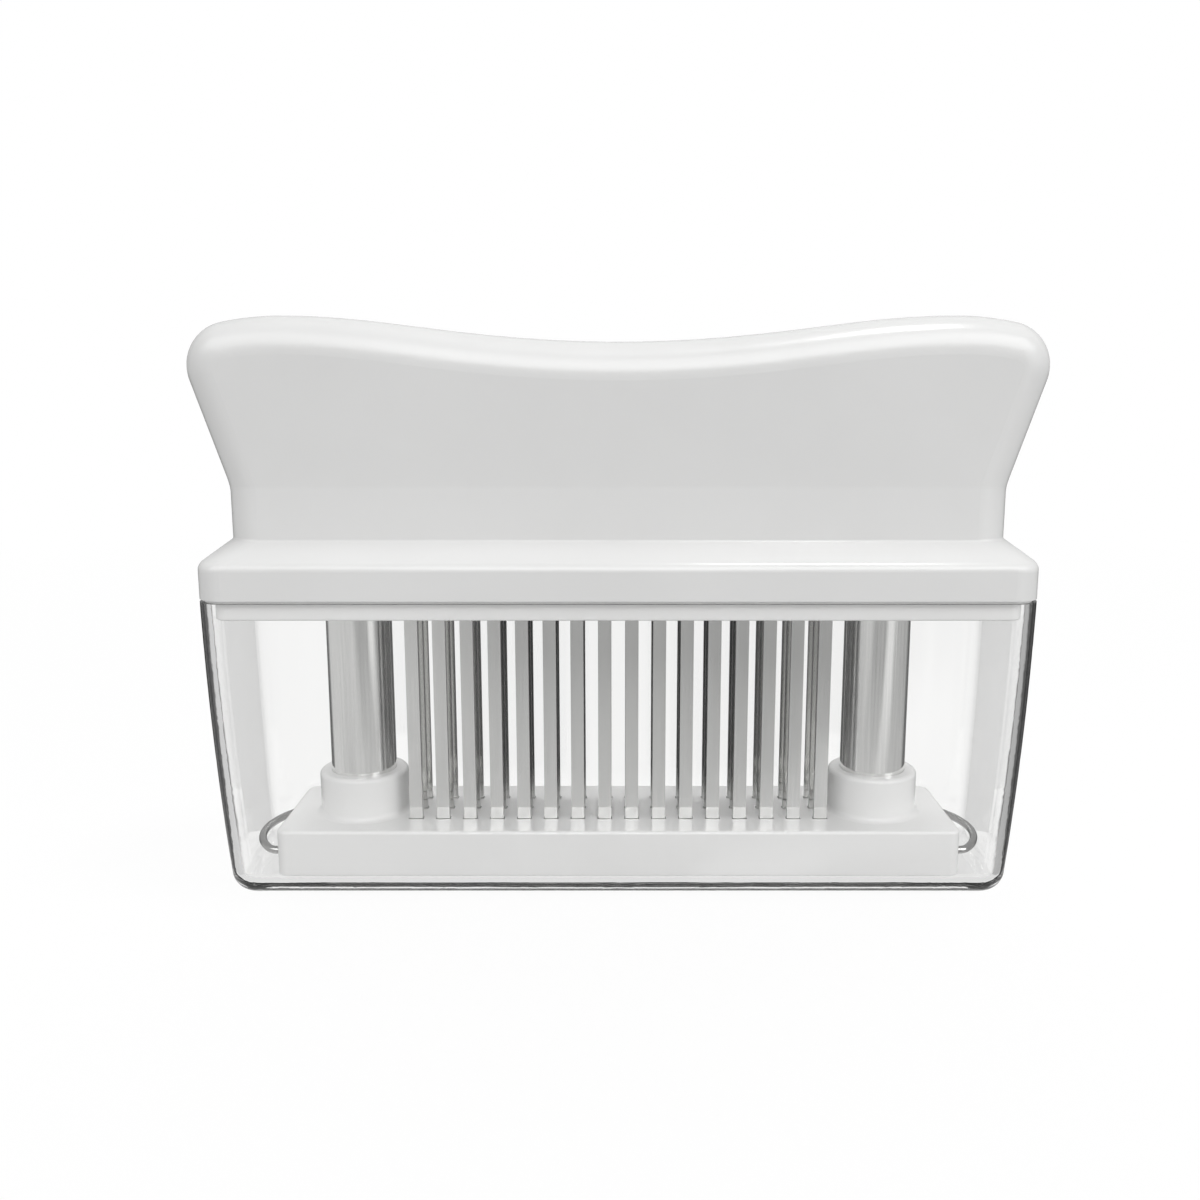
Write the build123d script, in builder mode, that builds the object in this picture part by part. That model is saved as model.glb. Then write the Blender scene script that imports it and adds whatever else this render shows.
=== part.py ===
from build123d import *
import os
from math import cos, pi, sin, sqrt

# Hand-held blade tenderizer standing in its clear storage cover.
# Millimetres. Z is up, X runs along the grip and Y from front to back.
# The origin is under the middle of the cover, on the surface that it stands on.

# Blades: flat strips with a pointed tip and a T-shaped head, in rows one behind the other
blade_count = 16
row_names = ["front", "middle", "rear"]
blade_pitch = 5.0
row_pitch = 5.6
blade_width = 2.35
blade_thickness = 1.0
blade_tip_height = 3.0
blade_tip_flat = 0.3
blade_head_overhang = 0.5
blade_head_height = 2.0
blade_tip_cover = 1.6

# Clearances between pieces, and the overrun of cuts
running_clearance = 0.05
seat_clearance = 0.05
slot_clearance = 0.2
plug_clearance = 0.7
clip_clearance = 0.55
overrun = 1.0
pick_band = 0.02

# Heights, from the floor of the cover up
cover_floor = 2.2
guard_lift = 0.9
guard_thickness = 8.8
boss_height = 8.1
guard_travel = 28.0
press_gap = 3.0
plug_height = 3.2
seam_height = 0.5
flange_height = 6.0
ledge_rise = 3.75
neck_height = 9.35

# Columns, their bushes and retaining rings
column_diameter = 12.0
column_wall = 0.8
column_tail = 1.6
bush_length = 13.5
bush_wall = 0.9
bush_rim_height = 1.2
bush_collar_wall = 0.9
ring_width = 2.0
ring_groove = 0.4
ring_thickness = 1.0
ring_gap = 0.1
ring_opening = 4.0
ring_side_gap = 0.75

# Guard plate with its bosses
boss_wall = 2.15
plate_end = 5.7
plate_corner = 2.0
plate_edge_round = 0.6
boss_top_round = 0.8
boss_base_round = 1.0

# Column feet and the wire clips that hold them
foot_rim = 0.3
foot_height = 5.6
foot_recess = 0.2
foot_corner = 1.5
spigot_height = 7.0
clip_leg_y = 10.4
clip_below_top = 4.35
clip_wire = 1.4
clip_reach = 5.4
clip_bow_radius = 15.0
clip_corner_radius = 2.5
clip_overlap = 1.0
clip_wall = 1.6

# Return springs and their guides
spring_wire = 1.2
spring_side_gap = 0.4
spring_turns = 14
spring_end_pitch = 2.0
spring_end_turns = 0.75
spring_ramp_turns = 0.5
spring_seat_gap = 0.05
guide_diameter = 6.0
guide_flange_diameter = 9.6
guide_flange_height = 1.6
guide_end_gap = 2.0
guide_end_round = 1.5
guide_spigot_diameter = 4.0
guide_spigot_height = 2.6
head_gap = 0.5

# Blade cartridges, their pins and the backing plate
cartridge_end_wall = 1.1
cartridge_gap = 0.2
cartridge_height = 13.0
cartridge_side_gap = 0.9
pin_diameter = 1.6
pin_rise = 6.0
pin_inset = 0.2
pin_pitch_steps = 6
backing_height = 1.6
backing_inset = 0.3
backing_corner = 1.0

# Clear cover
cover_wall = 1.8
cover_flare = 2.4
cover_mid_share = 0.32
cover_plate_gap = 0.5
cover_corner = 5.0
cover_foot_round = 4.0
cover_floor_round = 2.2

# Blade carrier
carrier_step = 1.4
carrier_rise = 5.3
carrier_headroom = 0.1
plug_edge_round = 0.4

# Grip
shell_wall = 2.8
ledge_length = 4.4
seam_depth = 0.8
seat_roof = 5.5
seat_boss_wall = 0.9
saddle_drop = 4.35
saddle_place_share = 0.5
saddle_rise_share = 0.42
wing_reach = 7.45
wing_drop = 3.4
wing_radius = 7.8
crest_inset = 18.3
wing_bend_radius = 10.0
face_bend_radius = 4.0
grip_flare = 3.2
outline_round = 6.0
flange_top_round = 1.8
neck_base_round = 0.5
rib_thickness = 2.4
rib_pitch_steps = 3
rib_gap = 0.1

# Carrier screws and the posts that take them
screw_diameter = 3.0
screw_head_diameter = 5.6
screw_head_height = 2.2
screw_sink = 0.5
screw_length = 20.0
screw_slot_width = 0.9
screw_slot_depth = 1.1
post_wall = 1.8
post_side_gap = 0.6
post_spare = 5.0
post_web = 2.0

# Lengths worked out along X, from the blades outwards
blade_span = (blade_count - 1) * blade_pitch + blade_width
cartridge_length = blade_span + 2 * cartridge_end_wall
column_radius = column_diameter / 2
column_bore_radius = column_radius - column_wall
ring_bore_radius = column_radius - ring_groove
ring_radius = ring_bore_radius + ring_width
bush_bore_radius = column_radius + running_clearance
bush_radius = bush_bore_radius + bush_wall
collar_radius = bush_radius + bush_collar_wall
column_x = cartridge_length / 2 + ring_side_gap + ring_radius
boss_bore_radius = column_radius + seat_clearance
foot_length = column_diameter + 2 * foot_rim
boss_radius = boss_bore_radius + boss_wall
plate_half_length = column_x + boss_radius + plate_end
clip_loop_x = plate_half_length + clip_reach
clip_tip_x = column_x - foot_length / 2 - clip_overlap
clip_corner_reach = clip_bow_radius - clip_corner_radius
clip_corner_y = clip_leg_y - clip_corner_radius
clip_corner_run = sqrt(clip_corner_reach ** 2 - clip_corner_y ** 2)
clip_corner_x = clip_loop_x - clip_bow_radius + clip_corner_run
clip_bow_x = clip_loop_x - clip_bow_radius * (1 - clip_corner_run / clip_corner_reach)
clip_bow_y = clip_bow_radius * clip_corner_y / clip_corner_reach
cover_foot_half_length = clip_loop_x + clip_wire / 2 + clip_clearance + cover_wall
cover_rim_half_length = cover_foot_half_length + cover_flare
plug_half_length = cover_rim_half_length - cover_wall - plug_clearance
carrier_half_length = plug_half_length - carrier_step
neck_half_length = cover_rim_half_length - ledge_length
wing_x = neck_half_length + wing_reach
crest_x = wing_x - crest_inset
post_radius = screw_diameter / 2 + post_wall
screw_x = column_x + collar_radius + post_side_gap + post_radius

# Depths worked out along Y, from the blades outwards
row_count = len(row_names)
row_places = [(row - (row_count - 1) / 2) * row_pitch for row in range(row_count)]
cartridge_depth = row_pitch - cartridge_gap
cartridges_half_depth = row_places[-1] + cartridge_depth / 2
neck_half_depth = max(cartridges_half_depth, ring_radius) + cartridge_side_gap + shell_wall
plate_half_depth = clip_leg_y + clip_wire / 2 + clip_wall
cover_foot_half_depth = plate_half_depth + cover_plate_gap + cover_wall
cover_rim_half_depth = cover_foot_half_depth + cover_flare
plug_half_depth = cover_rim_half_depth - cover_wall - plug_clearance
carrier_half_depth = plug_half_depth - carrier_step

# Heights worked out from the floor up
guard_bottom_z = cover_floor + guard_lift
guard_top_z = guard_bottom_z + guard_thickness
boss_top_z = guard_top_z + boss_height
foot_bottom_z = guard_bottom_z + foot_recess
foot_top_z = foot_bottom_z + foot_height
clip_z = guard_top_z - clip_below_top
blade_tip_z = guard_bottom_z + blade_tip_cover
spring_bottom_z = foot_top_z + spigot_height
guide_end_z = spring_bottom_z + guard_travel + guide_end_gap
carrier_bottom_z = boss_top_z + guard_travel + press_gap
handle_bottom_z = carrier_bottom_z + plug_height
carrier_top_z = handle_bottom_z + carrier_rise
pin_z = carrier_bottom_z + pin_rise
cartridge_top_z = carrier_bottom_z + cartridge_height
backing_top_z = cartridge_top_z + backing_height
screw_seat_z = carrier_bottom_z + screw_sink + screw_head_height
screw_top_z = screw_seat_z + screw_length
post_top_z = screw_top_z + post_spare
flange_bottom_z = handle_bottom_z + seam_height
flange_top_z = flange_bottom_z + flange_height
neck_bottom_z = flange_top_z + ledge_rise
bend_z = neck_bottom_z + neck_height
bush_top_z = carrier_bottom_z + bush_length
ring_bottom_z = bush_top_z + ring_gap
ring_top_z = ring_bottom_z + ring_thickness
column_top_z = ring_top_z + column_tail
guide_flange_z = column_top_z + guard_travel + head_gap
guide_seat_z = guide_flange_z + guide_flange_height
guide_top_z = guide_seat_z + guide_spigot_height
crest_z = guide_seat_z + seat_roof

# Corners that follow the cover, one inside the other
plug_corner = cover_corner - cover_wall - plug_clearance
carrier_corner = plug_corner / 2

sides = [(-1, "left"), (1, "right")]
os.makedirs("parts", exist_ok=True)


def save(part, name):
    """Label a finished piece and write it to its own file."""
    part.label = name
    export_step(part, f"parts/{name}.step")


def slab(length, depth, corner, bottom_z, top_z, x=0, mode=Mode.ADD):
    """A flat block with rounded upright corners, in the middle plane."""
    with BuildSketch(Plane.XY.offset(bottom_z)) as outline:
        with Locations((x, 0)):
            RectangleRounded(length, depth, corner)
    extrude(outline.sketch, amount=top_z - bottom_z, mode=mode)


def drum(x, radius, bottom_z, top_z, mode=Mode.ADD):
    """An upright round bar with its axis at x, in the middle plane."""
    with BuildSketch(Plane.XY.offset(bottom_z)) as outline:
        with Locations((x, 0)):
            Circle(radius)
    extrude(outline.sketch, amount=top_z - bottom_z, mode=mode)


def cross_bars(places, radius, half_length, mode=Mode.ADD):
    """Round bars along Y, at the given places along X, at the height of the cartridge pins."""
    with BuildSketch(Plane.XZ) as outline:
        with Locations([(x, pin_z) for x in places]):
            Circle(radius)
    extrude(outline.sketch, amount=half_length, both=True, mode=mode)


def clip_bores(start_x, end_x, radius, mode):
    """The two straight round channels of a wire clip, along X."""
    with BuildSketch(Plane.YZ.offset(start_x)) as outline:
        with Locations((-clip_leg_y, clip_z), (clip_leg_y, clip_z)):
            Circle(radius)
    extrude(outline.sketch, amount=end_x - start_x, mode=mode)


def at_height(z):
    """A test for edges that lie flat at one height."""
    return lambda edge: abs(edge.center().Z - z) < pick_band and edge.bounding_box().size.Z < pick_band


def flared_cup(half_length, half_depth, corner):
    """A block whose walls flare upwards in a gentle curve from the foot of the cover to its rim."""
    flares = [0, cover_flare * (1 - cover_mid_share), cover_flare]
    heights = [0, handle_bottom_z / 2, handle_bottom_z]
    sections = []
    for z, flare in zip(heights, flares):
        with BuildSketch(Plane.XY.offset(z)) as outline:
            RectangleRounded(2 * (half_length + flare), 2 * (half_depth + flare), corner)
        sections.append(outline.sketch)
    loft(sections)


def grip_block(inset):
    """The neck and grip as one rounded block, drawn in all round by an inset."""
    half_length = neck_half_length - inset
    half_depth = neck_half_depth - inset
    top_half_depth = half_depth + grip_flare
    bottom_z = handle_bottom_z
    top_z = crest_z - inset
    saddle_z = top_z - saddle_drop
    above_z = top_z + overrun
    corner_point = (wing_x - inset, top_z - wing_drop)
    mid_point = (crest_x * saddle_place_share, saddle_z + saddle_drop * saddle_rise_share)
    with BuildPart() as block:
        with BuildSketch(Plane.XZ) as front_view:
            with BuildLine():
                top = Spline((0, saddle_z), mid_point, (crest_x, top_z), tangents=((1, 0), (1, 0)))
                TangentArc(top @ 1, corner_point, tangent=(1, 0))
                Polyline(corner_point, (half_length, bend_z), (half_length, bottom_z), (0, bottom_z), (0, saddle_z))
            make_face()
            fillet(front_view.vertices().sort_by(Axis.X)[-1], wing_radius - inset)
            fillet(front_view.vertices().filter_by(lambda v: abs(v.Y - bend_z) < pick_band), wing_bend_radius)
            mirror(about=Plane.YZ)
        extrude(amount=2 * top_half_depth, both=True)
        with BuildSketch(Plane.YZ) as side_view:
            with BuildLine():
                Polyline((0, above_z), (0, bottom_z), (half_depth, bottom_z), (half_depth, bend_z),
                         (top_half_depth, above_z), close=True)
            make_face()
            fillet(side_view.vertices().filter_by(lambda v: abs(v.Y - bend_z) < pick_band), face_bend_radius)
            mirror(about=Plane.YZ)
        extrude(amount=2 * wing_x, both=True, mode=Mode.INTERSECT)
        outline = block.edges().filter_by(lambda e: abs(e.center().Y) > half_depth / 2)
        fillet(outline.filter_by(lambda e: e.center().Z > bottom_z + pick_band), outline_round - inset)
    return block.part


# Places along X that lie between two blades
pin_places = [step * pin_pitch_steps * blade_pitch for step in (-1, 0, 1)]
rib_places = [step * rib_pitch_steps * blade_pitch for step in (-2, -1, 0, 1, 2)]

# Ribs inside the grip, which bear on the backing plate
with BuildPart() as grip_ribs:
    with BuildSketch(Plane.XY.offset(backing_top_z + rib_gap)):
        with Locations([(x, 0) for x in rib_places]):
            Rectangle(rib_thickness, 2 * (neck_half_depth + grip_flare))
    extrude(amount=crest_z - backing_top_z)
    add(grip_block(shell_wall / 2), mode=Mode.INTERSECT)

# Handle grip: hollow shell with its flange, ribs, screw posts and spring guide seats
grip_outside = grip_block(0)
grip_hollow = grip_block(shell_wall)
with BuildPart() as handle_grip:
    slab(2 * cover_rim_half_length, 2 * cover_rim_half_depth, cover_corner, flange_bottom_z, flange_top_z)
    with BuildSketch(Plane.XY.offset(flange_top_z)):
        RectangleRounded(2 * cover_rim_half_length, 2 * cover_rim_half_depth, cover_corner)
    with BuildSketch(Plane.XY.offset(neck_bottom_z)):
        RectangleRounded(2 * neck_half_length, 2 * neck_half_depth, outline_round)
    loft(ruled=True)
    fillet(handle_grip.edges().filter_by(at_height(flange_top_z)), flange_top_round)
    add(grip_outside)
    fillet(handle_grip.edges().filter_by(at_height(neck_bottom_z)), neck_base_round)
    slab(2 * (cover_rim_half_length - seam_depth), 2 * (cover_rim_half_depth - seam_depth),
         cover_corner - seam_depth, handle_bottom_z, flange_bottom_z)
    add(grip_hollow, mode=Mode.SUBTRACT)
    add(grip_ribs.part)
    for side, side_name in sides:
        drum(side * screw_x, post_radius, carrier_top_z, post_top_z)
        web_length = neck_half_length - shell_wall / 2 - screw_x
        with BuildSketch(Plane.XY.offset(carrier_top_z)):
            with Locations((side * (screw_x + web_length / 2), 0)):
                Rectangle(web_length, post_web)
        extrude(amount=post_top_z - carrier_top_z)
        drum(side * column_x, guide_flange_diameter / 2 + seat_boss_wall, guide_seat_z, guide_top_z)
        drum(side * column_x, guide_spigot_diameter / 2 + seat_clearance, guide_seat_z,
             guide_top_z + seat_clearance, mode=Mode.SUBTRACT)
        drum(side * screw_x, screw_diameter / 2 + seat_clearance, carrier_top_z,
             screw_top_z + seat_clearance, mode=Mode.SUBTRACT)
    slab(2 * (carrier_half_length + seat_clearance), 2 * (carrier_half_depth + seat_clearance),
         carrier_corner + seat_clearance, handle_bottom_z, carrier_top_z + carrier_headroom, mode=Mode.SUBTRACT)
save(handle_grip.part, "handle_grip")

# Blade carrier: closes the grip from below and carries the cartridges and bushes
with BuildPart() as blade_carrier:
    slab(2 * plug_half_length, 2 * plug_half_depth, plug_corner, carrier_bottom_z, handle_bottom_z)
    fillet(blade_carrier.edges().filter_by(at_height(carrier_bottom_z)), plug_edge_round)
    slab(2 * carrier_half_length, 2 * carrier_half_depth, carrier_corner, handle_bottom_z, carrier_top_z)
    for side, side_name in sides:
        drum(side * column_x, collar_radius, carrier_top_z, bush_top_z - bush_rim_height)
        drum(side * column_x, bush_radius + seat_clearance, carrier_bottom_z, bush_top_z, mode=Mode.SUBTRACT)
        drum(side * screw_x, screw_head_diameter / 2 + seat_clearance, carrier_bottom_z, screw_seat_z,
             mode=Mode.SUBTRACT)
        drum(side * screw_x, screw_diameter / 2 + seat_clearance, screw_seat_z, carrier_top_z, mode=Mode.SUBTRACT)
    with BuildSketch(Plane.XY.offset(carrier_bottom_z)):
        Rectangle(cartridge_length + 2 * seat_clearance, 2 * (cartridges_half_depth + seat_clearance))
    extrude(amount=cartridge_height, mode=Mode.SUBTRACT)
    cross_bars(pin_places, pin_diameter / 2 + seat_clearance, plug_half_depth, mode=Mode.SUBTRACT)
save(blade_carrier.part, "blade_carrier")

# Blades and their cartridges, row by row
head_width = blade_width + 2 * blade_head_overhang
head_bottom_z = cartridge_top_z - blade_head_height
half_blade_outline = [
    (blade_tip_flat / 2, blade_tip_z),
    (blade_width / 2, blade_tip_z + blade_tip_height),
    (blade_width / 2, head_bottom_z),
    (head_width / 2, head_bottom_z),
    (head_width / 2, cartridge_top_z),
]
blade_outline = half_blade_outline + [(-x, z) for x, z in reversed(half_blade_outline)]
for row_y, row_name in zip(row_places, row_names):
    row_plane = Plane(origin=(0, row_y, 0), x_dir=(1, 0, 0), z_dir=(0, -1, 0))
    with BuildPart() as blades:
        with BuildSketch(row_plane):
            with GridLocations(blade_pitch, 0, blade_count, 1):
                Polygon(*blade_outline)
        extrude(amount=blade_thickness / 2, both=True)
    save(blades.part, f"blades_{row_name}")

    with BuildPart() as cartridge:
        with BuildSketch(Plane.XY.offset(carrier_bottom_z)):
            with Locations((0, row_y)):
                Rectangle(cartridge_length, cartridge_depth)
        extrude(amount=cartridge_height)
        for width, bottom_z in ((blade_width, carrier_bottom_z), (head_width, head_bottom_z)):
            with BuildSketch(Plane.XY.offset(bottom_z)):
                with Locations((0, row_y)):
                    with GridLocations(blade_pitch, 0, blade_count, 1):
                        Rectangle(width + 2 * seat_clearance, blade_thickness + 2 * seat_clearance)
            extrude(amount=cartridge_height, mode=Mode.SUBTRACT)
        cross_bars(pin_places, pin_diameter / 2 + seat_clearance, plug_half_depth, mode=Mode.SUBTRACT)
    save(cartridge.part, f"blade_cartridge_{row_name}")

# Cartridge pins, which pass through the carrier and all the cartridges
with BuildPart() as cartridge_pins:
    cross_bars(pin_places, pin_diameter / 2, carrier_half_depth - pin_inset)
save(cartridge_pins.part, "cartridge_pins")

# Backing plate on the heads of the blades
with BuildPart() as backing_plate:
    slab(cartridge_length - 2 * backing_inset, 2 * (cartridges_half_depth - backing_inset), backing_corner,
         cartridge_top_z, backing_top_z)
save(backing_plate.part, "backing_plate")

# Carrier screws with cross recesses in their heads
with BuildPart() as carrier_screws:
    for side, side_name in sides:
        drum(side * screw_x, screw_head_diameter / 2, carrier_bottom_z + screw_sink, screw_seat_z)
        drum(side * screw_x, screw_diameter / 2, screw_seat_z, screw_top_z)
        with BuildSketch(Plane.XY.offset(carrier_bottom_z + screw_sink)):
            with Locations((side * screw_x, 0)):
                Rectangle(screw_diameter, screw_slot_width)
                Rectangle(screw_slot_width, screw_diameter)
        extrude(amount=screw_slot_depth, mode=Mode.SUBTRACT)
save(carrier_screws.part, "carrier_screws")

# Guard plate: two bosses for the columns and a slot for each blade
with BuildPart() as guard_plate:
    slab(2 * plate_half_length, 2 * plate_half_depth, plate_corner, guard_bottom_z, guard_top_z)
    fillet(guard_plate.edges().filter_by(at_height(guard_top_z)), plate_edge_round)
    fillet(guard_plate.edges().filter_by(at_height(guard_bottom_z)), plate_edge_round)
    for side, side_name in sides:
        drum(side * column_x, boss_radius, guard_top_z, boss_top_z)
    round_edges = guard_plate.edges().filter_by(GeomType.CIRCLE)
    fillet(round_edges.filter_by(at_height(boss_top_z)), boss_top_round)
    base_edges = guard_plate.edges().filter_by(GeomType.CIRCLE).filter_by(at_height(guard_top_z))
    fillet(base_edges.filter_by(lambda e: abs(e.radius - boss_radius) < pick_band), boss_base_round)
    with BuildSketch(Plane.XY.offset(guard_bottom_z)):
        with GridLocations(blade_pitch, row_pitch, blade_count, row_count):
            Rectangle(blade_width + 2 * slot_clearance, blade_thickness + 2 * slot_clearance)
    extrude(amount=guard_thickness, mode=Mode.SUBTRACT)
    for side, side_name in sides:
        drum(side * column_x, boss_bore_radius, guard_bottom_z, boss_top_z, mode=Mode.SUBTRACT)
        slab(foot_length + 2 * seat_clearance, 2 * (clip_leg_y + seat_clearance), foot_corner + seat_clearance,
             guard_bottom_z, foot_top_z + seat_clearance, x=side * column_x, mode=Mode.SUBTRACT)
        clip_bores(side * (clip_tip_x - seat_clearance), side * (plate_half_length + overrun),
                   clip_wire / 2 + seat_clearance, Mode.SUBTRACT)
save(guard_plate.part, "guard_plate")

# Spring wire: a helix whose pitch opens up from its end turns to its middle
spring_radius = column_bore_radius - spring_side_gap - spring_wire / 2
spring_first_z = spring_bottom_z + spring_wire / 2 + spring_seat_gap
spring_last_z = guide_flange_z - spring_wire / 2 - spring_seat_gap
spring_rise = spring_last_z - spring_first_z
open_turns = spring_turns - 2 * spring_end_turns - spring_ramp_turns
spring_open_pitch = spring_end_pitch + (spring_rise - spring_end_pitch * spring_turns) / open_turns


def spring_climb(turn):
    """Height and pitch after so many turns from either end."""
    ramp = min(max(turn - spring_end_turns, 0), spring_ramp_turns)
    past = max(turn - spring_end_turns - spring_ramp_turns, 0)
    extra = spring_open_pitch - spring_end_pitch
    height = spring_end_pitch * turn + extra * (ramp * ramp / (2 * spring_ramp_turns) + past)
    return height, spring_end_pitch + extra * ramp / spring_ramp_turns


def spring_point(x, turn):
    """Point and direction of the spring's wire."""
    if turn <= spring_turns / 2:
        climb, pitch = spring_climb(turn)
    else:
        climb, pitch = spring_climb(spring_turns - turn)
        climb = spring_rise - climb
    angle = 2 * pi * turn
    point = Vector(x + spring_radius * cos(angle), spring_radius * sin(angle), spring_first_z + climb)
    direction = Vector(-spring_radius * sin(angle), spring_radius * cos(angle), pitch / (2 * pi))
    return point, direction.normalized()


def smooth_arc(start, corner, end):
    """The arc from start to end whose end tangents meet at a corner."""
    middle = (start + end) / 2
    slant = (end - start).length / 2 / (corner - start).length
    ThreePointArc(start, middle + (corner - middle) * (slant / (1 + slant)), end)


def biarc(start, start_direction, end, end_direction):
    """Two arcs that leave start and reach end in the given directions."""
    chord = end - start
    both = start_direction + end_direction
    spread = 2 * (1 - start_direction.dot(end_direction))
    reach = (sqrt(chord.dot(both) ** 2 + spread * chord.dot(chord)) - chord.dot(both)) / spread
    start_corner = start + start_direction * reach
    end_corner = end - end_direction * reach
    joint = (start_corner + end_corner) / 2
    smooth_arc(start, start_corner, joint)
    smooth_arc(joint, end_corner, end)


# Columns, feet, rings, clips, bushes, springs and guides, one of each at both ends
quarter_turns = 4
for side, side_name in sides:
    x = side * column_x
    with BuildPart() as column:
        drum(x, column_radius, foot_top_z, column_top_z)
        drum(x, column_bore_radius, foot_top_z, column_top_z, mode=Mode.SUBTRACT)
        with BuildSketch(Plane.XY.offset(ring_bottom_z - seat_clearance)):
            with Locations((x, 0)):
                Circle(column_radius + overrun)
                Circle(ring_bore_radius, mode=Mode.SUBTRACT)
        extrude(amount=ring_thickness + 2 * seat_clearance, mode=Mode.SUBTRACT)
    save(column.part, f"column_{side_name}")

    with BuildPart() as column_foot:
        slab(foot_length, 2 * clip_leg_y, foot_corner, foot_bottom_z, foot_top_z, x=x)
        drum(x, column_bore_radius - seat_clearance, foot_top_z, spring_bottom_z)
        clip_bores(x - foot_length, x + foot_length, clip_wire / 2 + seat_clearance, Mode.SUBTRACT)
    save(column_foot.part, f"column_foot_{side_name}")

    with BuildPart() as stop_ring:
        drum(x, ring_radius, ring_bottom_z, ring_top_z)
        drum(x, ring_bore_radius + seat_clearance, ring_bottom_z, ring_top_z, mode=Mode.SUBTRACT)
        with BuildSketch(Plane.XY.offset(ring_bottom_z)):
            with Locations((x + side * ring_radius, 0)):
                Rectangle(2 * ring_width, ring_opening)
        extrude(amount=ring_thickness, mode=Mode.SUBTRACT)
    save(stop_ring.part, f"stop_ring_{side_name}")

    with BuildPart() as wire_clip:
        leg_tip = (side * clip_tip_x, -clip_leg_y, clip_z)
        leg_end = (side * clip_corner_x, -clip_leg_y, clip_z)
        bow_end = (side * clip_bow_x, -clip_bow_y, clip_z)
        rear_bow_end = (side * clip_bow_x, clip_bow_y, clip_z)
        rear_leg_end = (side * clip_corner_x, clip_leg_y, clip_z)
        rear_leg_tip = (side * clip_tip_x, clip_leg_y, clip_z)
        with BuildLine() as clip_path:
            Line(leg_tip, leg_end)
            TangentArc(leg_end, bow_end, tangent=(side, 0))
            ThreePointArc(bow_end, (side * clip_loop_x, 0, clip_z), rear_bow_end)
            TangentArc(rear_bow_end, rear_leg_end, tangent=(side, 0), tangent_from_first=False)
            Line(rear_leg_end, rear_leg_tip)
        with BuildSketch(Plane(origin=leg_tip, z_dir=(side, 0, 0))):
            Circle(clip_wire / 2)
        sweep(path=clip_path.wire())
    save(wire_clip.part, f"wire_clip_{side_name}")

    with BuildPart() as column_bush:
        drum(x, bush_radius, carrier_bottom_z, bush_top_z)
        drum(x, ring_radius, bush_top_z - bush_rim_height, bush_top_z)
        drum(x, bush_bore_radius, carrier_bottom_z, bush_top_z, mode=Mode.SUBTRACT)
    save(column_bush.part, f"column_bush_{side_name}")

    with BuildPart() as spring_guide:
        drum(x, guide_diameter / 2, guide_end_z, guide_flange_z)
        fillet(spring_guide.edges().filter_by(at_height(guide_end_z)), guide_end_round)
        drum(x, guide_flange_diameter / 2, guide_flange_z, guide_seat_z)
        drum(x, guide_spigot_diameter / 2, guide_seat_z, guide_top_z)
    save(spring_guide.part, f"spring_guide_{side_name}")

    stops = [spring_point(x, step / quarter_turns) for step in range(spring_turns * quarter_turns + 1)]
    with BuildPart() as spring:
        with BuildLine() as wire_path:
            for (start, start_direction), (end, end_direction) in zip(stops, stops[1:]):
                biarc(start, start_direction, end, end_direction)
        with BuildSketch(Plane(origin=stops[0][0], z_dir=stops[0][1])):
            Circle(spring_wire / 2)
        sweep(path=wire_path.line)
    save(spring.part, f"spring_{side_name}")

# Least gap between neighbouring turns of a spring, measured on points of its wire
gap_steps = 24
wire_points = [spring_point(0, step / gap_steps)[0] for step in range(spring_turns * gap_steps + 1)]
turn_gaps = [
    (first - second).length - spring_wire
    for place, first in enumerate(wire_points)
    for second in wire_points[place + gap_steps // 2:]
]
print(f"least gap between the spring's turns: {min(turn_gaps):.2f} mm")

# Clear cover: thin cup with curved walls, open at the top
with BuildPart() as cover_hollow:
    flared_cup(cover_foot_half_length - cover_wall, cover_foot_half_depth - cover_wall, cover_corner - cover_wall)
    split(bisect_by=Plane.XY.offset(cover_floor), keep=Keep.TOP)
    fillet(cover_hollow.edges().filter_by(at_height(cover_floor)), cover_floor_round)
with BuildPart() as clear_cover:
    flared_cup(cover_foot_half_length, cover_foot_half_depth, cover_corner)
    fillet(clear_cover.edges().filter_by(at_height(0)), cover_foot_round)
    add(cover_hollow.part, mode=Mode.SUBTRACT)
save(clear_cover.part, "clear_cover")
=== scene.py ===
from math import cos, pi, radians, sin

import bmesh
import bpy
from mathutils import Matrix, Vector


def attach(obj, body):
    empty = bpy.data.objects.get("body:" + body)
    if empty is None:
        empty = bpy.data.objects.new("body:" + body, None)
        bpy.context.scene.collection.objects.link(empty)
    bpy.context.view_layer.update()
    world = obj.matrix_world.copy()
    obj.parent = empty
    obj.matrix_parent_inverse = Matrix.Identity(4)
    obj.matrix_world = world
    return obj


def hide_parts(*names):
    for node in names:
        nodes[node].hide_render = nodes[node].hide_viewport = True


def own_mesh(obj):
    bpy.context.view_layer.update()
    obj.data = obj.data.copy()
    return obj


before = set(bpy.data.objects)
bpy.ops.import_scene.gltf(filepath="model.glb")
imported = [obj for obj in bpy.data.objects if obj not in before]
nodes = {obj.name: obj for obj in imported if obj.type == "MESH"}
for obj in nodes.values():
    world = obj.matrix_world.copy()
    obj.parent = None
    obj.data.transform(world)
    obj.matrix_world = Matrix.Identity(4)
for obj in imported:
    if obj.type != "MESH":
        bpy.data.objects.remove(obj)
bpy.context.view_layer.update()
scene = bpy.context.scene

# Camera, as fitted to the photo's lines
CAMERA_PLACE = (0.0, -0.21324, 0.0897)
CAMERA_PITCH = radians(10.04)
LENS_MM = 35.0
SENSOR_MM = 36.0
FRAME_SHIFT = -0.0152
CLIP_START = 0.01

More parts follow.
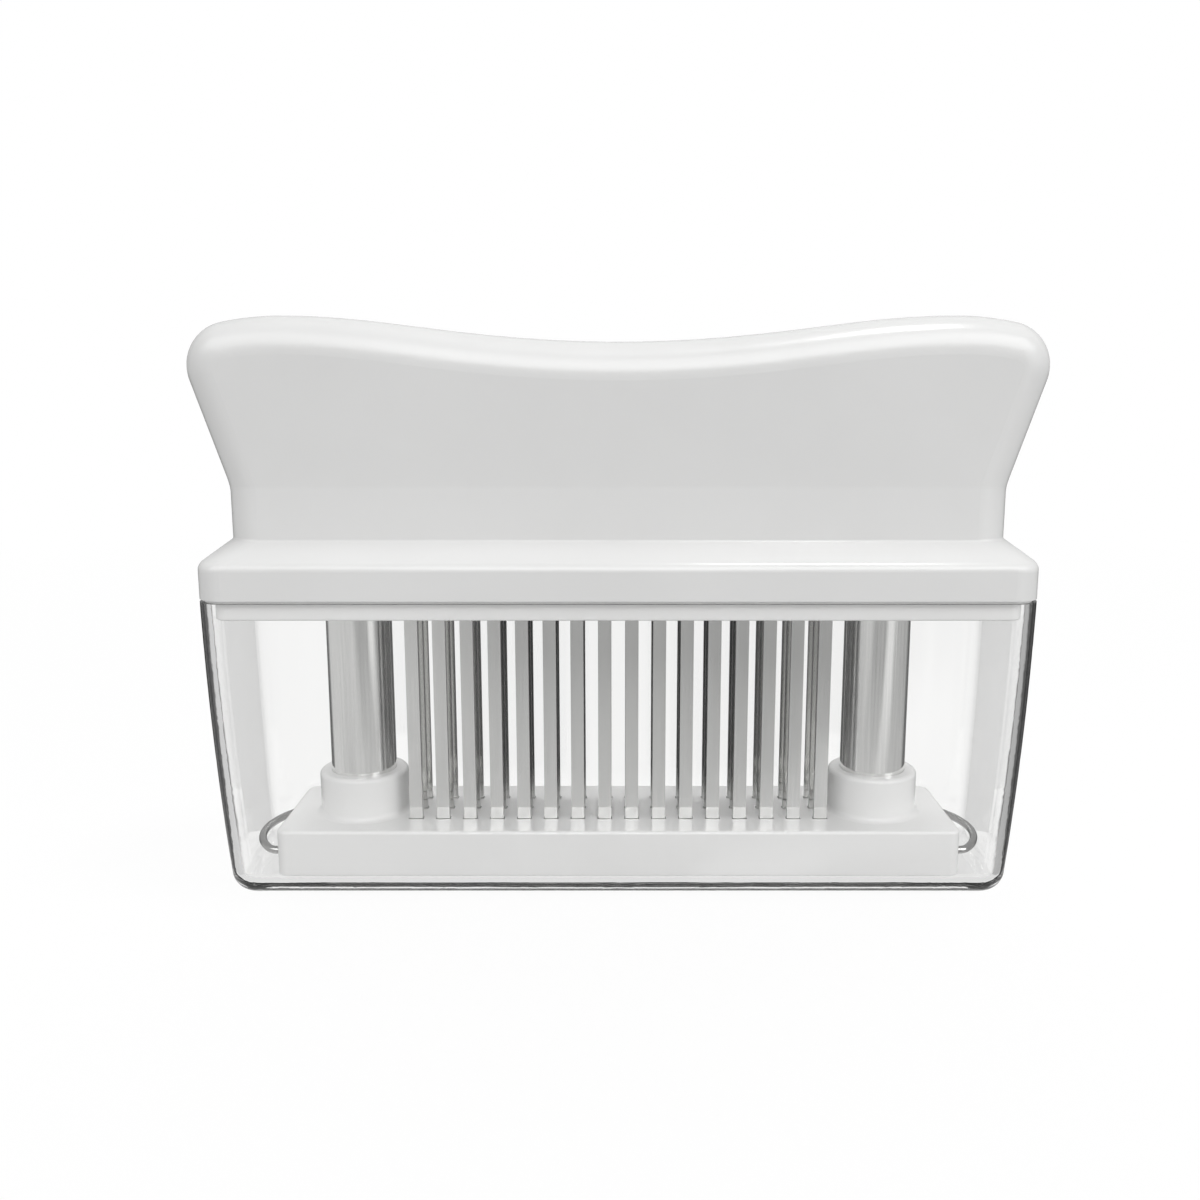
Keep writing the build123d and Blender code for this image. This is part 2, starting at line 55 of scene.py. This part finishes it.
# Return springs, as in the solids
COLUMN_X = 0.048125
SPRING_RADIUS = 0.0042
WIRE_RADIUS = 0.0006
SPRING_LOW_Z = 0.01655
SPRING_HIGH_Z = 0.09505
SPRING_TURNS = 14
END_PITCH = 0.002
END_TURNS = 0.75
RAMP_TURNS = 0.5
TURN_STEPS = 40
TANGENT_TURNS = 0.01
WIRE_SIDES = 12

# Noise: the part of its range that counts
NOISE_RANGE = (0.3, 0.7)

# Moulded plastic: grains to a metre, how far shade and roughness stray, and the height of the grain
CLOUD_GRAIN = (45, 45, 45)
GLOSS_GRAIN = (160, 160, 160)
MOULD_GRAIN = (420, 420, 420)
DIM_SHARE = 0.985
PALE_SHARE = 1.012
GLOSS_STRAY = 0.03
# White plastic in two copies of one material: the grip's is darker, painted shade for the stronger light on
# it, and the copy for the parts in the clear cover is brighter, painted light for the weaker light that
# reaches them
WHITE = (0.755, 0.755, 0.75)
WHITE_ROUGHNESS = 0.2
WHITE_WITH_PAINTED_LIGHT = (0.88, 0.88, 0.875)
WHITE_WITH_PAINTED_LIGHT_ROUGHNESS = 0.22
MOULD_HEIGHT = 0.000003
NATURAL = (0.74, 0.73, 0.69)
NATURAL_ROUGHNESS = 0.45
NATURAL_HEIGHT = 0.000004

# Drawn steel: the same for its lines
TUBE_GRAIN = (2600, 2600, 60)
TUBE_COLOUR = (0.92, 0.92, 0.91)
TUBE_ROUGHNESS = 0.1
TUBE_LINE_HEIGHT = 0.0000004
WIRE_GRAIN = (2600, 2600, 2600)
WIRE_COLOUR = (0.5, 0.5, 0.495)
WIRE_ROUGHNESS = 0.16
WIRE_LINE_HEIGHT = 0.0000006
LINE_DETAIL = 4.0
LINE_SHARE = 0.93
SMOOTHER = 0.04
ROUGHER = 0.05

# Blade steel: rolled faces and sheared edges, told apart by how far they face along X; the sheared edges are
# rougher, and their darker colour is painted shade for the dark things they mirror
ROLLED_GRAIN = (5200, 5200, 90)
ROLLED_COLOURS = ((0.83, 0.83, 0.82), (0.87, 0.87, 0.86))
ROLLED_ROUGHNESS = (0.05, 0.1)
ROLLED_LINE_HEIGHT = 0.0000004
SHEARED_GRAIN = (3000, 3000, 2200)
SHEARED_DETAIL = 3.0
SHEARED_COLOURS_WITH_PAINTED_SHADE = ((0.42, 0.42, 0.42), (0.68, 0.68, 0.68))
SHEARED_ROUGHNESS = 0.3
SHEARED_FACING = (0.5, 0.9)

# Clear plastic
CLEAR_IOR = 1.49
CLEAR_COLOUR = (0.985, 0.985, 0.982)
CLEAR_GRAIN = (120, 120, 120)
CLEAR_ROUGHNESS = (0.0, 0.015)

# Studio: light that the world gives, from all round and from straight behind, by Y of its direction, and
# tones of the matte floor as a source of light and where the camera sees its shadow
FRONT_LIGHT = 0.62
BACK_LIGHT = 2.8
BACK_LIGHT_REACH = (0.5, 0.95)
FLOOR_TONE = 0.45
SHADOW_TONE = 0.85

# Brightness round the part: share of a turn from the back over the left, the front and the right to the back
# again, and brightness there, for what is mirrored and for what is seen through clear plastic
MIRRORED_CARDS = (
    (0.0, 0.08), (0.13, 0.08), (0.17, 0.64), (0.43, 0.66), (0.48, 0.42), (0.575, 0.4),
    (0.605, 0.9), (0.645, 0.9), (0.675, 0.47), (0.83, 0.44), (0.87, 0.08), (1.0, 0.08),
)
BACKDROP_CARDS = (
    (0.0, 1.0), (0.15, 1.0), (0.19, 0.1), (0.3, 0.15), (0.34, 1.0),
    (0.66, 1.0), (0.7, 0.15), (0.81, 0.1), (0.85, 1.0), (1.0, 1.0),
)

# Floor: its size and height, the ground that the part covers, and the stretch behind it that the camera sees,
# by how far a line of sight leans aside and by Y
FLOOR_SIZE = 6.0
FLOOR_Z = -0.0001
HALF_LENGTH = 0.073
HALF_DEPTH = 0.018
VIEW_REACH = (0.36, 0.46)
BEHIND_REACH = (-0.04, -0.02)

# Floor in front of the part: how far it counts, by distance from the middle and by Y
FRONT_POOL_REACH = (0.05, 0.2)
FRONT_EDGE_REACH = (-0.04, -0.025)

# Floor's brightness where it is mirrored or seen through clear plastic; on the ground under the part it is
# held below white, a painted shadow of the part
MIRRORED_FRONT = 0.58
MIRRORED_PAINTED_SHADOW = 0.78
MIRRORED_IN_WALL = 0.7
THROUGH_PAINTED_SHADOW = 0.88

# Floor's own glow for the camera, near the part, where its shadow shows, and further off
NEAR_GLOW = 0.93
FAR_GLOW = 1.0
GLOW_REACH = (0.15, 0.6)

# World's brightness overhead and at the back, by Z and Y of the direction
OVERHEAD_REACH = (0.3, 0.7)
MIRRORED_OVERHEAD = 0.5
THROUGH_OVERHEAD = 0.8
WORLD_BACK_REACH = (0.3, 0.7)
MIRRORED_BACK = 0.45

# Bright strip above the camera for the highlights along edges: where it stands, its brightness from left to
# right, and its brightness in what is mirrored more than once
STRIP_LOW_REACH = (0.3, 0.45)
STRIP_HIGH_REACH = (0.75, 0.9)
STRIP_FRONT_REACH = (-0.4, -0.2)
STRIP_LEFT = 2.6
STRIP_RIGHT = 3.8
STRIP_WIDTH_REACH = (-0.3, 0.3)
STRIP_AGAIN = 1.6

# Depths of a light path are whole numbers, so they are compared with the halves between
ANY_DEPTH = 0.5
REPEAT_DEPTH = 1.5
WALL_DEPTH = 2.5

# Lamps: name, place, aim, width, power in watts, and whether the part mirrors the lamp itself
LAMPS = (
    ("front_light", (0.0, -0.86, 0.56), (0.0, 0.0, 0.05), 0.4, 2.5, False),
    ("side_light", (0.75, -0.6, 0.3), (0.0, 0.0, 0.03), 0.4, 1.3, False),
    ("top_light", (0.15, -0.07, 0.78), (0.0, 0.0, 0.1), 0.14, 1.5, True),
)


class Nodes:
    """The node tree of a material or a world, with short ways to add and join nodes."""

    def __init__(self, owner):
        self.owner = owner
        owner.use_nodes = True
        self.tree = owner.node_tree
        self.tree.nodes.clear()

    def add(self, kind, **settings):
        node = self.tree.nodes.new(kind)
        for key, value in settings.items():
            setattr(node, key, value)
        return node

    def link(self, source, target):
        self.tree.links.new(source, target)

    def feed(self, socket, value):
        """Sets a socket to a plain number or colour, or joins another socket to it."""
        if isinstance(value, (int, float)):
            socket.default_value = value
        elif isinstance(value, tuple):
            socket.default_value = (*value, 1.0)
        else:
            self.link(value, socket)

    def math(self, operation, *values):
        """A sum, product or other function of sockets and plain numbers."""
        node = self.add("ShaderNodeMath", operation=operation)
        for socket, value in zip(node.inputs, values):
            self.feed(socket, value)
        return node.outputs["Value"]

    def mix(self, kind, share, first, second):
        node = self.add("ShaderNodeMix", data_type=kind)
        for name, value in zip(("Factor", "A", "B"), (share, first, second)):
            self.feed(node.inputs[name], value)
        return node.outputs["Result"]

    def blend(self, share, first, second):
        """A number between two, by a share from 0 to 1."""
        return self.mix("FLOAT", share, first, second)

    def colours(self, share, first, second):
        """A colour between two, by a share from 0 to 1."""
        return self.mix("RGBA", share, first, second)

    def shader(self, **values):
        node = self.add("ShaderNodeBsdfPrincipled")
        for key, value in values.items():
            self.feed(node.inputs[key.replace("_", " ")], value)
        return node

    def mix_shaders(self, share, first, second):
        node = self.add("ShaderNodeMixShader")
        for socket, source in zip(node.inputs, (share, first, second)):
            self.link(source, socket)
        return node.outputs["Shader"]

    def noise(self, grain, detail=2.0):
        """A noise value with the given number of grains to a metre along X, Y and Z."""
        place = self.add("ShaderNodeTexCoord")
        mapping = self.add("ShaderNodeMapping")
        mapping.inputs["Scale"].default_value = grain
        texture = self.add("ShaderNodeTexNoise")
        texture.inputs["Scale"].default_value = 1.0
        texture.inputs["Detail"].default_value = detail
        self.link(place.outputs["Object"], mapping.inputs["Vector"])
        self.link(mapping.outputs["Vector"], texture.inputs["Vector"])
        return texture.outputs["Fac"]

    def spread(self, value, low, high, reach=NOISE_RANGE):
        """Low where a value starts its reach, high where it ends it, and in proportion between."""
        node = self.add("ShaderNodeMapRange")
        for name, number in zip(("From Min", "From Max", "To Min", "To Max"), (*reach, low, high)):
            node.inputs[name].default_value = number
        self.link(value, node.inputs["Value"])
        return node.outputs["Result"]

    def split(self, vector):
        node = self.add("ShaderNodeSeparateXYZ")
        self.link(vector, node.inputs["Vector"])
        return node.outputs["X"], node.outputs["Y"], node.outputs["Z"]

    def bump(self, value, shader, height):
        node = self.add("ShaderNodeBump")
        node.inputs["Strength"].default_value = 1.0
        node.inputs["Distance"].default_value = height
        self.link(value, node.inputs["Height"])
        self.link(node.outputs["Normal"], shader.inputs["Normal"])

    def finish(self, surface, kind="ShaderNodeOutputMaterial"):
        self.link(surface, self.add(kind).inputs["Surface"])
        return self.owner


def moulded_plastic(name, colour, roughness, grain_height):
    """Moulded plastic: fine grain, faint cloudiness and slightly uneven gloss."""
    n = Nodes(bpy.data.materials.new(name))
    shader = n.shader()
    dim = tuple(c * DIM_SHARE for c in colour)
    pale = tuple(min(1.0, c * PALE_SHARE) for c in colour)
    cloud = n.spread(n.noise(CLOUD_GRAIN), 0.0, 1.0)
    n.link(n.colours(cloud, dim, pale), shader.inputs["Base Color"])
    gloss = n.spread(n.noise(GLOSS_GRAIN), roughness - GLOSS_STRAY, roughness + GLOSS_STRAY)
    n.link(gloss, shader.inputs["Roughness"])
    n.bump(n.noise(MOULD_GRAIN), shader, grain_height)
    return n.finish(shader.outputs["BSDF"])


def drawn_steel(name, colour, roughness, grain, line_height):
    """Bright metal with fine lines from drawing or polishing."""
    n = Nodes(bpy.data.materials.new(name))
    shader = n.shader(Metallic=1.0)
    lines = n.noise(grain, LINE_DETAIL)
    dim = tuple(c * LINE_SHARE for c in colour)
    n.link(n.colours(n.spread(lines, 0.0, 1.0), dim, colour), shader.inputs["Base Color"])
    n.link(n.spread(lines, roughness - SMOOTHER, roughness + ROUGHER), shader.inputs["Roughness"])
    n.bump(lines, shader, line_height)
    return n.finish(shader.outputs["BSDF"])


def blade_steel(name):
    """Rolled strip: mirror-bright faces with faint lengthwise lines, and rougher sheared edges whose darker
    colour is painted shade.
    """
    n = Nodes(bpy.data.materials.new(name))
    shader = n.shader(Metallic=1.0)
    lines = n.noise(ROLLED_GRAIN, LINE_DETAIL)
    speckle = n.noise(SHEARED_GRAIN, SHEARED_DETAIL)
    facing_x = n.split(n.add("ShaderNodeNewGeometry").outputs["True Normal"])[0]
    edge = n.spread(n.math("ABSOLUTE", facing_x), 0.0, 1.0, SHEARED_FACING)
    rolled = n.colours(n.spread(lines, 0.0, 1.0), *ROLLED_COLOURS)
    # The sheared edges' darker colour is painted shade; only their speckle is their own tone
    sheared = n.colours(n.spread(speckle, 0.0, 1.0), *SHEARED_COLOURS_WITH_PAINTED_SHADE)
    n.link(n.colours(edge, rolled, sheared), shader.inputs["Base Color"])
    gloss = n.blend(edge, n.spread(lines, *ROLLED_ROUGHNESS), SHEARED_ROUGHNESS)
    n.link(gloss, shader.inputs["Roughness"])
    n.bump(lines, shader, ROLLED_LINE_HEIGHT)
    return n.finish(shader.outputs["BSDF"])


def clear_plastic(name):
    """Clear moulded plastic that lets light through to what stands in it."""
    n = Nodes(bpy.data.materials.new(name))
    glass = n.shader(IOR=CLEAR_IOR, Transmission_Weight=1.0, Base_Color=CLEAR_COLOUR)
    n.link(n.spread(n.noise(CLEAR_GRAIN), *CLEAR_ROUGHNESS), glass.inputs["Roughness"])
    film = n.add("ShaderNodeBsdfTransparent")
    rays = n.add("ShaderNodeLightPath").outputs
    lighting = n.math("MAXIMUM", rays["Is Shadow Ray"], rays["Is Diffuse Ray"])
    return n.finish(n.mix_shaders(lighting, glass.outputs["BSDF"], film.outputs["BSDF"]))


def dress(material, *names):
    """Gives CAD nodes one material."""
    for name in names:
        mesh = nodes[name].data
        mesh.materials.clear()
        mesh.materials.append(material)


def at_ends(*parts):
    """Names of the nodes that stand at both ends of the tool."""
    return [f"{part}_{end}" for part in parts for end in ("left", "right")]


def in_rows(part):
    """Names of the nodes that repeat in each row of blades."""
    return [f"{part}_{row}" for row in ("front", "middle", "rear")]


white = moulded_plastic("white_moulding", WHITE, WHITE_ROUGHNESS, MOULD_HEIGHT)
white_with_painted_light = moulded_plastic("white_moulding_with_painted_light", WHITE_WITH_PAINTED_LIGHT, WHITE_WITH_PAINTED_LIGHT_ROUGHNESS, MOULD_HEIGHT)
natural = moulded_plastic("natural_moulding", NATURAL, NATURAL_ROUGHNESS, NATURAL_HEIGHT)
polished = drawn_steel("polished_tube", TUBE_COLOUR, TUBE_ROUGHNESS, TUBE_GRAIN, TUBE_LINE_HEIGHT)
wire = drawn_steel("drawn_wire", WIRE_COLOUR, WIRE_ROUGHNESS, WIRE_GRAIN, WIRE_LINE_HEIGHT)
strip = blade_steel("blade_strip")
clear = clear_plastic("clear_moulding")

# The grip gets the darker white, painted shade; the carrier, guard plate and cartridges in the clear cover
# get the brighter copy, painted light
dress(white, "handle_grip")
dress(white_with_painted_light, "blade_carrier", "guard_plate", *in_rows("blade_cartridge"))
dress(natural, *at_ends("column_foot", "column_bush", "spring_guide"))
dress(polished, *at_ends("column"))
dress(wire, "cartridge_pins", "carrier_screws", *at_ends("wire_clip", "stop_ring"))
dress(strip, "backing_plate", *in_rows("blades"))
dress(clear, "clear_cover")


def spring_climb(turn):
    """Height gained after so many turns from either end of a spring."""
    rise = SPRING_HIGH_Z - SPRING_LOW_Z
    open_turns = SPRING_TURNS - 2 * END_TURNS - RAMP_TURNS
    extra = (rise - END_PITCH * SPRING_TURNS) / open_turns
    ramp = min(max(turn - END_TURNS, 0), RAMP_TURNS)
    past = max(turn - END_TURNS - RAMP_TURNS, 0)
    return END_PITCH * turn + extra * (ramp * ramp / (2 * RAMP_TURNS) + past)


def spring_centre(turn):
    """Point on the middle line of a spring's wire, about the spring's own axis."""
    if turn <= SPRING_TURNS / 2:
        height = SPRING_LOW_Z + spring_climb(turn)
    else:
        height = SPRING_HIGH_Z - spring_climb(SPRING_TURNS - turn)
    angle = 2 * pi * turn
    return Vector((SPRING_RADIUS * cos(angle), SPRING_RADIUS * sin(angle), height))


def wire_ring(turn, x):
    """Points round the wire of a spring whose axis stands at x."""
    after = spring_centre(min(turn + TANGENT_TURNS, SPRING_TURNS))
    before = spring_centre(max(turn - TANGENT_TURNS, 0))
    along = (after - before).normalized()
    outward = Vector((cos(2 * pi * turn), sin(2 * pi * turn), 0))
    up = along.cross(outward).normalized()
    points = []
    for side in range(WIRE_SIDES):
        angle = 2 * pi * side / WIRE_SIDES
        offset = outward * cos(angle) + up * sin(angle)
        points.append(spring_centre(turn) + offset * WIRE_RADIUS + Vector((x, 0, 0)))
    return points


def wound_spring(name, x):
    """A coil spring of round wire, cut square at both ends of the wire."""
    form = bmesh.new()
    rings = []
    for step in range(SPRING_TURNS * TURN_STEPS + 1):
        rings.append([form.verts.new(point) for point in wire_ring(step / TURN_STEPS, x)])
    for first, second in zip(rings, rings[1:]):
        for side in range(WIRE_SIDES):
            other = (side + 1) % WIRE_SIDES
            form.faces.new((first[side], second[side], second[other], first[other]))
    form.faces.new(rings[0])
    form.faces.new(list(reversed(rings[-1])))
    bmesh.ops.recalc_face_normals(form, faces=form.faces)
    for face in form.faces:
        face.smooth = len(face.verts) == 4
    mesh = bpy.data.meshes.new(name)
    form.to_mesh(mesh)
    form.free()
    mesh.materials.append(wire)
    piece = bpy.data.objects.new(name, mesh)
    scene.collection.objects.link(piece)
    return piece


for side, end in ((-1, "left"), (1, "right")):
    coil = wound_spring(f"coil_{end}", side * COLUMN_X)
    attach(coil, "handle")
    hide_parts(f"spring_{end}")
    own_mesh(coil)


def cards(n, x, y, levels):
    """Brightness of the surroundings in the direction of x and y."""
    angle = n.math("ARCTAN2", x, n.math("MULTIPLY", y, -1.0))
    ramp = n.add("ShaderNodeValToRGB")
    stops = ramp.color_ramp.elements
    while len(stops) < len(levels):
        stops.new(0.5)
    for stop, (place, level) in zip(stops, levels):
        stop.position = place
        stop.color = (level, level, level, 1.0)
    n.link(n.spread(angle, 0.0, 1.0, (-pi, pi)), ramp.inputs["Fac"])
    return ramp.outputs["Color"]


def within(n, value, limit):
    """One where a value is less than a limit on either side of nought."""
    return n.math("LESS_THAN", n.math("ABSOLUTE", value), limit)


def pictured(n, rays):
    """One for what the camera sees in a mirror or through clear plastic, nought for what only gives light."""
    direct = n.math("LESS_THAN", rays["Diffuse Depth"], ANY_DEPTH)
    return n.math("MULTIPLY", direct, n.math("MAXIMUM", rays["Is Glossy Ray"], rays["Is Transmission Ray"]))


def floor_through(n, x, y, across, under):
    """Floor as seen through clear plastic: white behind the part, cards to the sides, and a painted shadow
    under the part.
    """
    aside = n.math("DIVIDE", n.math("ABSOLUTE", x), n.math("SUBTRACT", y, CAMERA_PLACE[1]))
    in_view = n.spread(aside, 1.0, 0.0, VIEW_REACH)
    behind = n.math("MULTIPLY", in_view, n.spread(y, 0.0, 1.0, BEHIND_REACH))
    # Under the part the floor is darker than white: painted shadow
    return n.blend(under, n.blend(behind, cards(n, across, y, BACKDROP_CARDS), 1.0), THROUGH_PAINTED_SHADOW)


def floor_mirrored(n, x, y, across, under, away, depth):
    """Floor as mirrored: cards, with other levels in front and in the cover's wall, and painted shadow under
    the part.
    """
    near = n.spread(away, 1.0, 0.0, FRONT_POOL_REACH)
    in_front = n.math("MULTIPLY", near, n.spread(y, 1.0, 0.0, FRONT_EDGE_REACH))
    level = n.blend(in_front, cards(n, across, y, MIRRORED_CARDS), MIRRORED_FRONT)
    # Under the part the floor takes a level of its own: painted shadow
    level = n.blend(under, level, MIRRORED_PAINTED_SHADOW)
    entered = n.math("GREATER_THAN", depth, ANY_DEPTH)
    in_wall = n.math("MULTIPLY", entered, n.math("LESS_THAN", depth, WALL_DEPTH))
    past_back = n.math("MULTIPLY", within(n, x, HALF_LENGTH), n.math("GREATER_THAN", y, HALF_DEPTH))
    return n.blend(n.math("MULTIPLY", in_wall, past_back), level, MIRRORED_IN_WALL)


def floor_material():
    """White where the camera sees it, graded where it is mirrored, and matte grey as a source of light."""
    n = Nodes(bpy.data.materials.new("studio_floor"))
    rays = n.add("ShaderNodeLightPath").outputs
    x, y, _ = n.split(n.add("ShaderNodeNewGeometry").outputs["Position"])
    away = n.math("SQRT", n.math("ADD", n.math("MULTIPLY", x, x), n.math("MULTIPLY", y, y)))
    past_end = n.math("MAXIMUM", n.math("SUBTRACT", n.math("ABSOLUTE", x), HALF_LENGTH), 0.0)
    at_back = n.math("GREATER_THAN", y, 0.0)
    across = n.blend(at_back, x, n.math("MULTIPLY", past_end, n.math("SIGN", x)))
    under = n.math("MULTIPLY", within(n, x, HALF_LENGTH), within(n, y, HALF_DEPTH))
    through = floor_through(n, x, y, across, under)
    mirror = floor_mirrored(n, x, y, across, under, away, rays["Transmission Depth"])
    graded = n.blend(n.math("MINIMUM", rays["Glossy Depth"], 1.0), through, mirror)
    glow = n.add("ShaderNodeEmission")
    n.link(n.blend(rays["Is Camera Ray"], graded, 1.0), glow.inputs["Strength"])
    matte = n.add("ShaderNodeBsdfDiffuse")
    n.link(n.blend(rays["Is Camera Ray"], FLOOR_TONE, SHADOW_TONE), matte.inputs["Color"])
    shown = n.math("MULTIPLY", rays["Is Camera Ray"], n.spread(away, NEAR_GLOW, FAR_GLOW, GLOW_REACH))
    glowing = n.math("MAXIMUM", shown, pictured(n, rays))
    return n.finish(n.mix_shaders(glowing, matte.outputs["BSDF"], glow.outputs["Emission"]))


half = FLOOR_SIZE / 2
corners = [(-half, -half, 0), (half, -half, 0), (half, half, 0), (-half, half, 0)]
floor_mesh = bpy.data.meshes.new("studio_floor")
floor_mesh.from_pydata(corners, [], [(0, 1, 2, 3)])
floor_mesh.materials.append(floor_material())
floor = bpy.data.objects.new("studio_floor", floor_mesh)
floor.location = (0, 0, FLOOR_Z)
scene.collection.objects.link(floor)


def world_mirrored(n, rays, x, y, z, overhead):
    """World as mirrored: cards, with other levels at the back and overhead, and a bright strip in front."""
    at_back = n.spread(y, 0.0, 1.0, WORLD_BACK_REACH)
    level = n.blend(at_back, cards(n, x, y, MIRRORED_CARDS), MIRRORED_BACK)
    level = n.blend(overhead, level, MIRRORED_OVERHEAD)
    above = n.spread(z, 0.0, 1.0, STRIP_LOW_REACH)
    below = n.spread(z, 1.0, 0.0, STRIP_HIGH_REACH)
    ahead = n.spread(y, 1.0, 0.0, STRIP_FRONT_REACH)
    on_strip = n.math("MULTIPLY", n.math("MULTIPLY", above, below), ahead)
    once = n.math("LESS_THAN", rays["Glossy Depth"], REPEAT_DEPTH)
    strip_level = n.blend(once, STRIP_AGAIN, n.spread(x, STRIP_LEFT, STRIP_RIGHT, STRIP_WIDTH_REACH))
    return n.blend(on_strip, level, strip_level)


def surroundings():
    """White for the camera, cards in mirrors and through glass, and a bright back as a source of light."""
    n = Nodes(bpy.data.worlds.new("studio"))
    rays = n.add("ShaderNodeLightPath").outputs
    x, y, z = n.split(n.add("ShaderNodeTexCoord").outputs["Generated"])
    light = n.spread(y, FRONT_LIGHT, BACK_LIGHT, BACK_LIGHT_REACH)
    overhead = n.spread(z, 0.0, 1.0, OVERHEAD_REACH)
    mirror = world_mirrored(n, rays, x, y, z, overhead)
    through = n.blend(overhead, cards(n, x, y, BACKDROP_CARDS), THROUGH_OVERHEAD)
    seen = n.blend(n.math("MINIMUM", rays["Glossy Depth"], 1.0), through, mirror)
    lit_or_seen = n.blend(pictured(n, rays), light, seen)
    glow = n.add("ShaderNodeBackground")
    glow.inputs["Color"].default_value = (1.0, 1.0, 1.0, 1.0)
    n.link(n.blend(rays["Is Camera Ray"], lit_or_seen, 1.0), glow.inputs["Strength"])
    return n.finish(glow.outputs["Background"], kind="ShaderNodeOutputWorld")


scene.world = surroundings()


def softbox(name, place, aim, width, power, mirrored):
    """A square lamp that points at a place."""
    lamp = bpy.data.lights.new(name, "AREA")
    lamp.shape = "SQUARE"
    lamp.size = width
    lamp.energy = power
    holder = bpy.data.objects.new(name, lamp)
    holder.location = place
    holder.rotation_euler = (Vector(aim) - Vector(place)).to_track_quat("-Z", "Y").to_euler()
    holder.visible_glossy = mirrored
    scene.collection.objects.link(holder)


for lamp_values in LAMPS:
    softbox(*lamp_values)

camera_data = bpy.data.cameras.new("camera")
camera_data.lens = LENS_MM
camera_data.sensor_width = SENSOR_MM
camera_data.sensor_fit = "HORIZONTAL"
camera_data.shift_x = FRAME_SHIFT
camera_data.clip_start = CLIP_START
camera = bpy.data.objects.new("camera", camera_data)
camera.location = CAMERA_PLACE
camera.rotation_euler = (pi / 2 - CAMERA_PITCH, 0, 0)
scene.collection.objects.link(camera)
scene.camera = camera

scene.view_settings.view_transform = "Standard"
